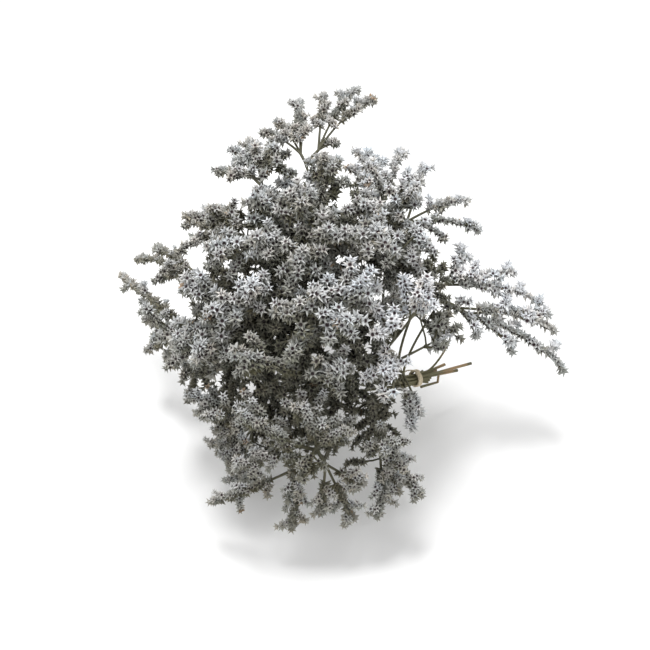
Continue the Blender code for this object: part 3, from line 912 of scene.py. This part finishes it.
def star_mesh(name, plan, templates, settings, crowd):
    """All the stars of one spray as one mesh."""
    draw = random.Random("stars " + name)
    size, warmth, facing, spray_shade = SPRAY_LOOKS[name]
    usual_tone = MIDDLE_TONE + warmth * WARMTH_SHARE
    lit_way = Vector(UNDER_WAY).normalized()
    bm = bmesh.new()
    for path, bare, arc, long_share, foot_shade in spikes_to_dress(name, plan):
        spike_tone = draw.uniform(-SPIKE_SCATTER, SPIKE_SCATTER)
        for place, axis, foot_share in star_seats(path, bare, arc, facing, draw):
            long = draw.random() < long_share
            scale = size * draw.uniform(*STAR_SIZE_RANGE)
            reach = settings.star_height + (LONG_FOOT * MM if long else 0)
            head = place + axis * reach * scale
            tone = min(1, max(0, usual_tone + spike_tone + draw.gauss(0, STAR_SCATTER)))
            if draw.random() < settings.tan_share:
                tone = 1
            # Painted shade and light: the patches, an even painted shade in the depth, more painted
            # shade toward a spike's foot, on stars facing away from the light, and by spray
            shade = patch_shade(head)
            if foot_shade is None:
                shade += PAINTED_DEPTH_SHADE
                if draw.random() > DEEP_SHARE:
                    continue
            else:
                shade += foot_shade * foot_share + PAINTED_UNDER_SHADE * (0.5 - 0.5 * axis.dot(lit_way))
                shade += spray_shade
            if head.z < settings.star_radius * scale + FLOOR_GAP * MM or hides_tie(head):
                continue
            if not crowd.admits(head, min(1, scale)):
                continue
            stand = aim(place, axis, draw.uniform(0, 2 * math.pi), scale)
            add_star(bm, templates[long], stand, tone, shade)
    mesh = bpy.data.meshes.new("stars_" + name)
    bm.to_mesh(mesh)
    bm.free()
    return mesh


class Number:
    """A number in a material's nodes; Python's signs on it add Math nodes."""

    def __init__(self, paint, socket):
        self.paint = paint
        self.socket = socket

    def math(self, operation, *others):
        """The result of a Math node on this number and others."""
        inputs = dict(enumerate((self, *others)))
        made = self.paint.node("ShaderNodeMath", {"operation": operation}, inputs)
        return Number(self.paint, made.outputs[0])

    def held(self):
        """The number, held between 0 and 1."""
        return self.math("MINIMUM", 1.0).math("MAXIMUM", 0.0)

    def __add__(self, other):
        return self.math("ADD", other)

    def __mul__(self, other):
        return self.math("MULTIPLY", other)

    def __sub__(self, other):
        return self.math("SUBTRACT", other)

    def __rsub__(self, other):
        return self.math("MULTIPLY_ADD", -1, other)

    __radd__ = __add__
    __rmul__ = __mul__


class Paint:
    """The nodes of one material."""

    def __init__(self, name, roughness):
        self.material = bpy.data.materials.new(name)
        self.material.use_nodes = True
        self.tree = self.material.node_tree
        self.shader = self.tree.nodes["Principled BSDF"]
        self.shader.inputs["Roughness"].default_value = roughness
        self.place = self.node("ShaderNodeTexCoord", {}, {}).outputs["Object"]

    def node(self, kind, settings, inputs):
        """Add a node, set it up, then give its sockets values or links."""
        made = self.tree.nodes.new(kind)
        for name, value in settings.items():
            if name == "stops":
                ramp = made.color_ramp.elements
                while len(ramp) < len(value):
                    ramp.new(0.5)
                for stop, (position, colour) in zip(ramp, value):
                    stop.position = position
                    stop.color = (*colour, 1)
            else:
                setattr(made, name, value)
        for name, value in inputs.items():
            source = value.socket if isinstance(value, Number) else value
            if isinstance(source, bpy.types.NodeSocket):
                self.tree.links.new(source, made.inputs[name])
            else:
                made.inputs[name].default_value = source
        return made

    def attribute(self, name):
        """A number that the mesh carries."""
        made = self.node("ShaderNodeAttribute", {"attribute_name": name}, {})
        return Number(self, made.outputs["Fac"])

    def noise(self, scale, detail=2.0):
        """Soft random patches in the object's own space."""
        inputs = {"Vector": self.place, "Scale": scale, "Detail": detail}
        return Number(self, self.node("ShaderNodeTexNoise", {}, inputs).outputs["Fac"])

    def measure(self, operation, vector):
        """What a Vector Math node makes of the place on the object and a vector."""
        inputs = {0: self.place, 1: vector}
        made = self.node("ShaderNodeVectorMath", {"operation": operation}, inputs)
        return Number(self, made.outputs["Value"])

    def ramp(self, number, stops):
        """A colour for each value of a number."""
        return self.node("ShaderNodeValToRGB", {"stops": stops}, {"Fac": number}).outputs["Color"]

    def mix(self, blend, factor, first, second):
        """Two colours put together."""
        settings = {"data_type": "RGBA", "blend_type": blend}
        return self.node("ShaderNodeMix", settings, {0: factor, 6: first, 7: second}).outputs[2]

    def finish(self, colour, height=None, strength=0.0, distance=0.0):
        """Link the colour, and a bump where there is a height."""
        self.tree.links.new(colour, self.shader.inputs["Base Color"])
        if height:
            inputs = {"Height": height, "Strength": strength, "Distance": distance}
            bump = self.node("ShaderNodeBump", {}, inputs)
            self.tree.links.new(bump.outputs["Normal"], self.shader.inputs["Normal"])
        return self.material


def shaded(colour, share):
    """A share of a colour's brightness."""
    return tuple(value * share for value in colour)


def star_paper(settings):
    """Dry papery calyx: brown seat, pale lobes, dark throat, with its own tint for each star."""
    paint = Paint("star_paper", roughness=0.7)
    seat, pale = tuple(settings.seat_colour), tuple(settings.lobe_colour)
    # The lobes are painted lightest at their points and darker down to the throat: painted light
    # and shade. The brown seat and the dark throat are the calyx's own colours
    colour = paint.ramp(paint.attribute("fold") * (1 / THROAT_FOLD), (
        (0.0, seat), (0.18, shaded(seat, 1.4)), (0.36, shaded(pale, 0.6)), (0.47, pale),
        (0.54, pale), (0.72, shaded(pale, 0.85)), (0.83, shaded(pale, 0.6)),
        (0.885, tuple(settings.throat_colour)),
    ))
    patches = paint.noise(scale=90.0) * PATCH_SCATTER - PATCH_SCATTER / 2
    veins = paint.noise(scale=1800.0, detail=3.0)
    layers = (
        (paint.attribute("tone") + patches, TINTS),
        (paint.attribute("shade"), SHADES),
        (veins, VEINS),
    )
    for number, stops in layers:
        colour = paint.mix("MULTIPLY", 1.0, colour, paint.ramp(number, stops))
    return paint.finish(colour, veins, strength=0.35, distance=0.0002)


def stem_bark(settings):
    """Dry stem: streaked dull olive, lighter near the tie and brown at the cut ends behind it."""
    paint = Paint("stem_bark", roughness=0.62)
    streak = paint.noise(scale=420.0, detail=3.0)
    patch = paint.noise(scale=60.0)
    green = tuple(settings.stem_colour)
    colour = paint.ramp(patch * PATCH_SHARE + streak * STREAK_SHARE, (
        (0.25, shaded(green, 0.55)), (0.5, green), (0.75, shaded(green, 1.7)),
    ))
    tie = mm(TIE_POINT) + table_shift()
    tied = (TIED_START - paint.measure("DISTANCE", tie) * TIED_FADING).held() * TIED_SHARE
    behind = STEM_WAY.dot(tie) - paint.measure("DOT_PRODUCT", STEM_WAY)
    patches = ((paint.noise(scale=110.0) - BROWN_LEVEL) * BROWN_CONTRAST).held()
    brown = (behind * BROWN_GROWTH - BROWN_START).held() * patches
    colour = paint.mix("MIX", tied, colour, (*settings.tied_colour, 1))
    colour = paint.mix("MIX", brown, colour, (*settings.stub_colour, 1))
    return paint.finish(colour, streak, strength=0.4, distance=0.0003)


def cream_string(settings):
    """Matte twisted fibre."""
    paint = Paint("cream_string", roughness=0.85)
    fibres = paint.noise(scale=1500.0, detail=4.0)
    cream = tuple(settings.string_colour)
    colour = paint.ramp(fibres, ((0.3, shaded(cream, 0.6)), (0.62, cream)))
    return paint.finish(colour, fibres, strength=0.6, distance=0.0003)


class StaticeStars(bpy.types.PropertyGroup):
    """Sizes and colours of the papery stars."""

    star_radius: bpy.props.FloatProperty(
        name="Star radius", description="From a star's middle to a lobe's point",
        default=3.65 * MM, unit="LENGTH",
    )
    star_height: bpy.props.FloatProperty(
        name="Star height", description="From a star's seat to its lobes' points",
        default=3.4 * MM, unit="LENGTH",
    )
    notch_share: bpy.props.FloatProperty(
        name="Notch", description="Share of the radius at which the notches between lobes lie",
        default=0.32, subtype="FACTOR",
    )
    tan_share: bpy.props.FloatProperty(
        name="Tan stars", description="Share of stars that dried to tan",
        default=0.005, subtype="FACTOR",
    )
    lobe_colour: bpy.props.FloatVectorProperty(
        name="Lobe colour", description="Colour of the papery lobes",
        default=(0.96, 0.97, 0.985), subtype="COLOR",
    )
    throat_colour: bpy.props.FloatVectorProperty(
        name="Throat colour", description="Colour of a star's dark middle",
        default=(0.035, 0.014, 0.018), subtype="COLOR",
    )
    seat_colour: bpy.props.FloatVectorProperty(
        name="Seat colour", description="Colour of the bract at a star's foot",
        default=(0.12, 0.11, 0.065), subtype="COLOR",
    )


class StaticeStems(bpy.types.PropertyGroup):
    """Thickness and colours of the stems."""

    thickness: bpy.props.FloatProperty(
        name="Thickness", description="Share of the usual thickness of branches and spikes",
        default=1.35, subtype="FACTOR",
    )
    stem_colour: bpy.props.FloatVectorProperty(
        name="Stem colour", description="Colour of the dry stems",
        default=(0.07, 0.066, 0.036), subtype="COLOR",
    )
    tied_colour: bpy.props.FloatVectorProperty(
        name="Tied colour", description="Colour of the stems near the tie",
        default=(0.17, 0.155, 0.075), subtype="COLOR",
    )
    stub_colour: bpy.props.FloatVectorProperty(
        name="Stub colour", description="Colour of the cut ends behind the tie",
        default=(0.3, 0.2, 0.1), subtype="COLOR",
    )


class StaticeTie(bpy.types.PropertyGroup):
    """Thickness and colour of the string."""

    string_radius: bpy.props.FloatProperty(
        name="String radius", description="Half the thickness of the string",
        default=0.72 * MM, unit="LENGTH",
    )
    string_colour: bpy.props.FloatVectorProperty(
        name="String colour", description="Colour of the string",
        default=(0.72, 0.62, 0.45), subtype="COLOR",
    )


class StaticeStage(bpy.types.PropertyGroup):
    """Floor and light."""

    floor_colour: bpy.props.FloatVectorProperty(
        name="Floor colour", description="Colour of the surface under the bunch",
        default=(0.9, 0.9, 0.9), subtype="COLOR",
    )
    lamp_power: bpy.props.FloatProperty(
        name="Lamp power", description="Power of the large soft lamp",
        default=10.6, unit="POWER",
    )
    sky_strength: bpy.props.FloatProperty(
        name="Sky strength", description="Strength of the even light from all round",
        default=0.93,
    )


class STATICE_OT_grow_stems(bpy.types.Operator):
    """Grow the stems, branches and spikes of every spray"""

    bl_idname = "statice.grow_stems"
    bl_label = "Grow stems"

    def execute(self, context):
        settings = context.scene.statice_stems
        bark = stem_bark(settings)
        for name, plan in grow_bunch().items():
            pairs = spray_tubes(name, plan, settings.thickness)
            mesh = tubes("stems_" + name, pairs, STEM_ROUNDING)
            finished_piece("stems_" + name, mesh, bark, ["spray_" + name])
        return {"FINISHED"}


class STATICE_OT_set_stars(bpy.types.Operator):
    """Set the papery stars on every spike"""

    bl_idname = "statice.set_stars"
    bl_label = "Set stars"

    def execute(self, context):
        settings = context.scene.statice_stars
        paper = star_paper(settings)
        templates = [star_template(settings, foot * MM) for foot in (0, LONG_FOOT)]
        crowd = Crowd(STAR_CLEARANCE * MM)
        for name, plan in grow_bunch().items():
            mesh = star_mesh(name, plan, templates, settings, crowd)
            finished_piece("stars_" + name, mesh, paper, ["spray_" + name])
        for template in templates:
            bpy.data.meshes.remove(template)
        return {"FINISHED"}


def wound_string(reach, radius):
    """Centre line of the wraps, from one edge of the tie to the other, in millimetres."""
    steps = TIE_WRAPS * WRAP_STEPS
    for step in range(steps + 1):
        turn = 2 * math.pi * step / WRAP_STEPS
        height = (step / steps - 0.5) * (TIE_WIDTH - 2 * radius)
        yield Vector((reach * math.cos(turn), reach * math.sin(turn), height))


def slack_strand(reach):
    """Centre line of the strand that stands off the wraps between its ends, in millimetres."""
    for step in range(SLACK_STEPS + 1):
        share = step / SLACK_STEPS
        turn = math.radians(SLACK_START + SLACK_RUN * share)
        swell = math.sin(math.pi * share)
        spoke = Vector((math.cos(turn), math.sin(turn), 0)) * (reach + swell * SLACK_LIFT)
        yield spoke + Vector((0, 0, swell * SLACK_DRIFT))


class STATICE_OT_wind_tie(bpy.types.Operator):
    """Wind the string round the stems"""

    bl_idname = "statice.wind_tie"
    bl_label = "Wind tie"

    def execute(self, context):
        settings = context.scene.statice_tie
        turn = STEM_WAY.to_track_quat("Z", "X").to_matrix().to_4x4()
        place = Matrix.Translation(mm(TIE_POINT)) @ turn
        radius = settings.string_radius / MM
        reach = bundle_radius() + TIE_CLEARANCE + radius
        wound = [place @ (point * MM) for point in wound_string(reach, radius)]
        slack = [place @ (point * MM) for point in slack_strand(reach)]
        pairs = [(wound, [radius] * len(wound)), (slack, [SLACK_RADIUS] * len(slack))]
        mesh = tubes("tie", pairs, STRING_ROUNDING)
        finished_piece("tie_wraps", mesh, cream_string(settings), ["tie_string"])
        return {"FINISHED"}


def lay_floor(settings):
    """Lay the plain pale floor."""
    bm = bmesh.new()
    bmesh.ops.create_grid(bm, x_segments=1, y_segments=1, size=FLOOR_REACH_IN_METRES)
    mesh = bpy.data.meshes.new("floor")
    bm.to_mesh(mesh)
    bm.free()
    paint = Paint("plain_floor", roughness=0.9)
    pale = tuple(settings.floor_colour)
    grain = paint.ramp(paint.noise(scale=3.0), ((0.0, shaded(pale, 0.99)), (1.0, pale)))
    mesh.materials.append(paint.finish(grain))
    floor = new_object("floor", mesh)
    floor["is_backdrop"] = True


def hang_lamp(settings, target):
    """Hang one large soft lamp high above the bunch and aim it at a target."""
    lamp = bpy.data.lights.new("soft_lamp", "AREA")
    lamp.shape = "DISK"
    lamp.size = LAMP_SIZE_IN_METRES
    lamp.energy = settings.lamp_power
    holder = new_object("soft_lamp", lamp)
    holder.location = target + Vector(LAMP_PLACE_IN_METRES)
    holder.rotation_euler = (target - holder.location).to_track_quat("-Z", "Y").to_euler()


def even_sky(settings):
    """A world that gives the same white light from all round."""
    world = bpy.data.worlds.new("even_sky")
    world.use_nodes = True
    sky = world.node_tree.nodes["Background"]
    sky.inputs["Color"].default_value = (1, 1, 1, 1)
    sky.inputs["Strength"].default_value = settings.sky_strength
    return world


def photo_camera():
    """A camera at the photograph's viewing angle."""
    data = bpy.data.cameras.new("camera")
    data.lens = CAMERA_LENS
    data.clip_start = NEAREST_IN_METRES
    camera = new_object("camera", data)
    camera.location = table_shift() + eye_place()
    camera.rotation_euler = (-eye_way()).to_track_quat("-Z", "Y").to_euler()
    return camera


class STATICE_OT_set_stage(bpy.types.Operator):
    """Lay the floor and set the light and the camera"""

    bl_idname = "statice.set_stage"
    bl_label = "Set stage"

    def execute(self, context):
        scene = context.scene
        settings = scene.statice_stage
        lay_floor(settings)
        hang_lamp(settings, table_shift())
        scene.world = even_sky(settings)
        scene.view_settings.view_transform = "Standard"
        scene.camera = photo_camera()
        return {"FINISHED"}


class STATICE_PT_bunch(bpy.types.Panel):
    """Lists the sizes, the colours and the steps of the bunch"""

    bl_label = "Dried statice"
    bl_idname = "STATICE_PT_bunch"
    bl_space_type = "VIEW_3D"
    bl_region_type = "UI"
    bl_category = "Statice"

    def draw(self, context):
        for name, group, step in STEPS:
            box = self.layout.box()
            for setting in group.__annotations__:
                box.prop(getattr(context.scene, name), setting)
            box.operator(step.bl_idname)


# Each step's settings, as the scene holds them, and its operator
STEPS = (
    ("statice_stems", StaticeStems, STATICE_OT_grow_stems),
    ("statice_stars", StaticeStars, STATICE_OT_set_stars),
    ("statice_tie", StaticeTie, STATICE_OT_wind_tie),
    ("statice_stage", StaticeStage, STATICE_OT_set_stage),
)


def register():
    """Add the settings, the operators and the panel."""
    for name, group, step in STEPS:
        bpy.utils.register_class(group)
        setattr(bpy.types.Scene, name, bpy.props.PointerProperty(type=group))
        bpy.utils.register_class(step)
    bpy.utils.register_class(STATICE_PT_bunch)


def unregister():
    """Take the settings, the operators and the panel away again."""
    bpy.utils.unregister_class(STATICE_PT_bunch)
    for name, group, step in STEPS:
        bpy.utils.unregister_class(step)
        delattr(bpy.types.Scene, name)
        bpy.utils.unregister_class(group)


def main():
    """Build the bunch and its stage, and work out the two boxes."""
    register()
    solid_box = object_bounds()
    bpy.ops.statice.grow_stems()
    bpy.ops.statice.set_stars()
    bpy.ops.statice.wind_tie()
    bpy.ops.statice.set_stage()
    sizes = {"cad": solid_box, "visual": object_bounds()}
    {key: [list(corner) for corner in box] for key, box in sizes.items()}


if __name__ == "__main__":
    main()
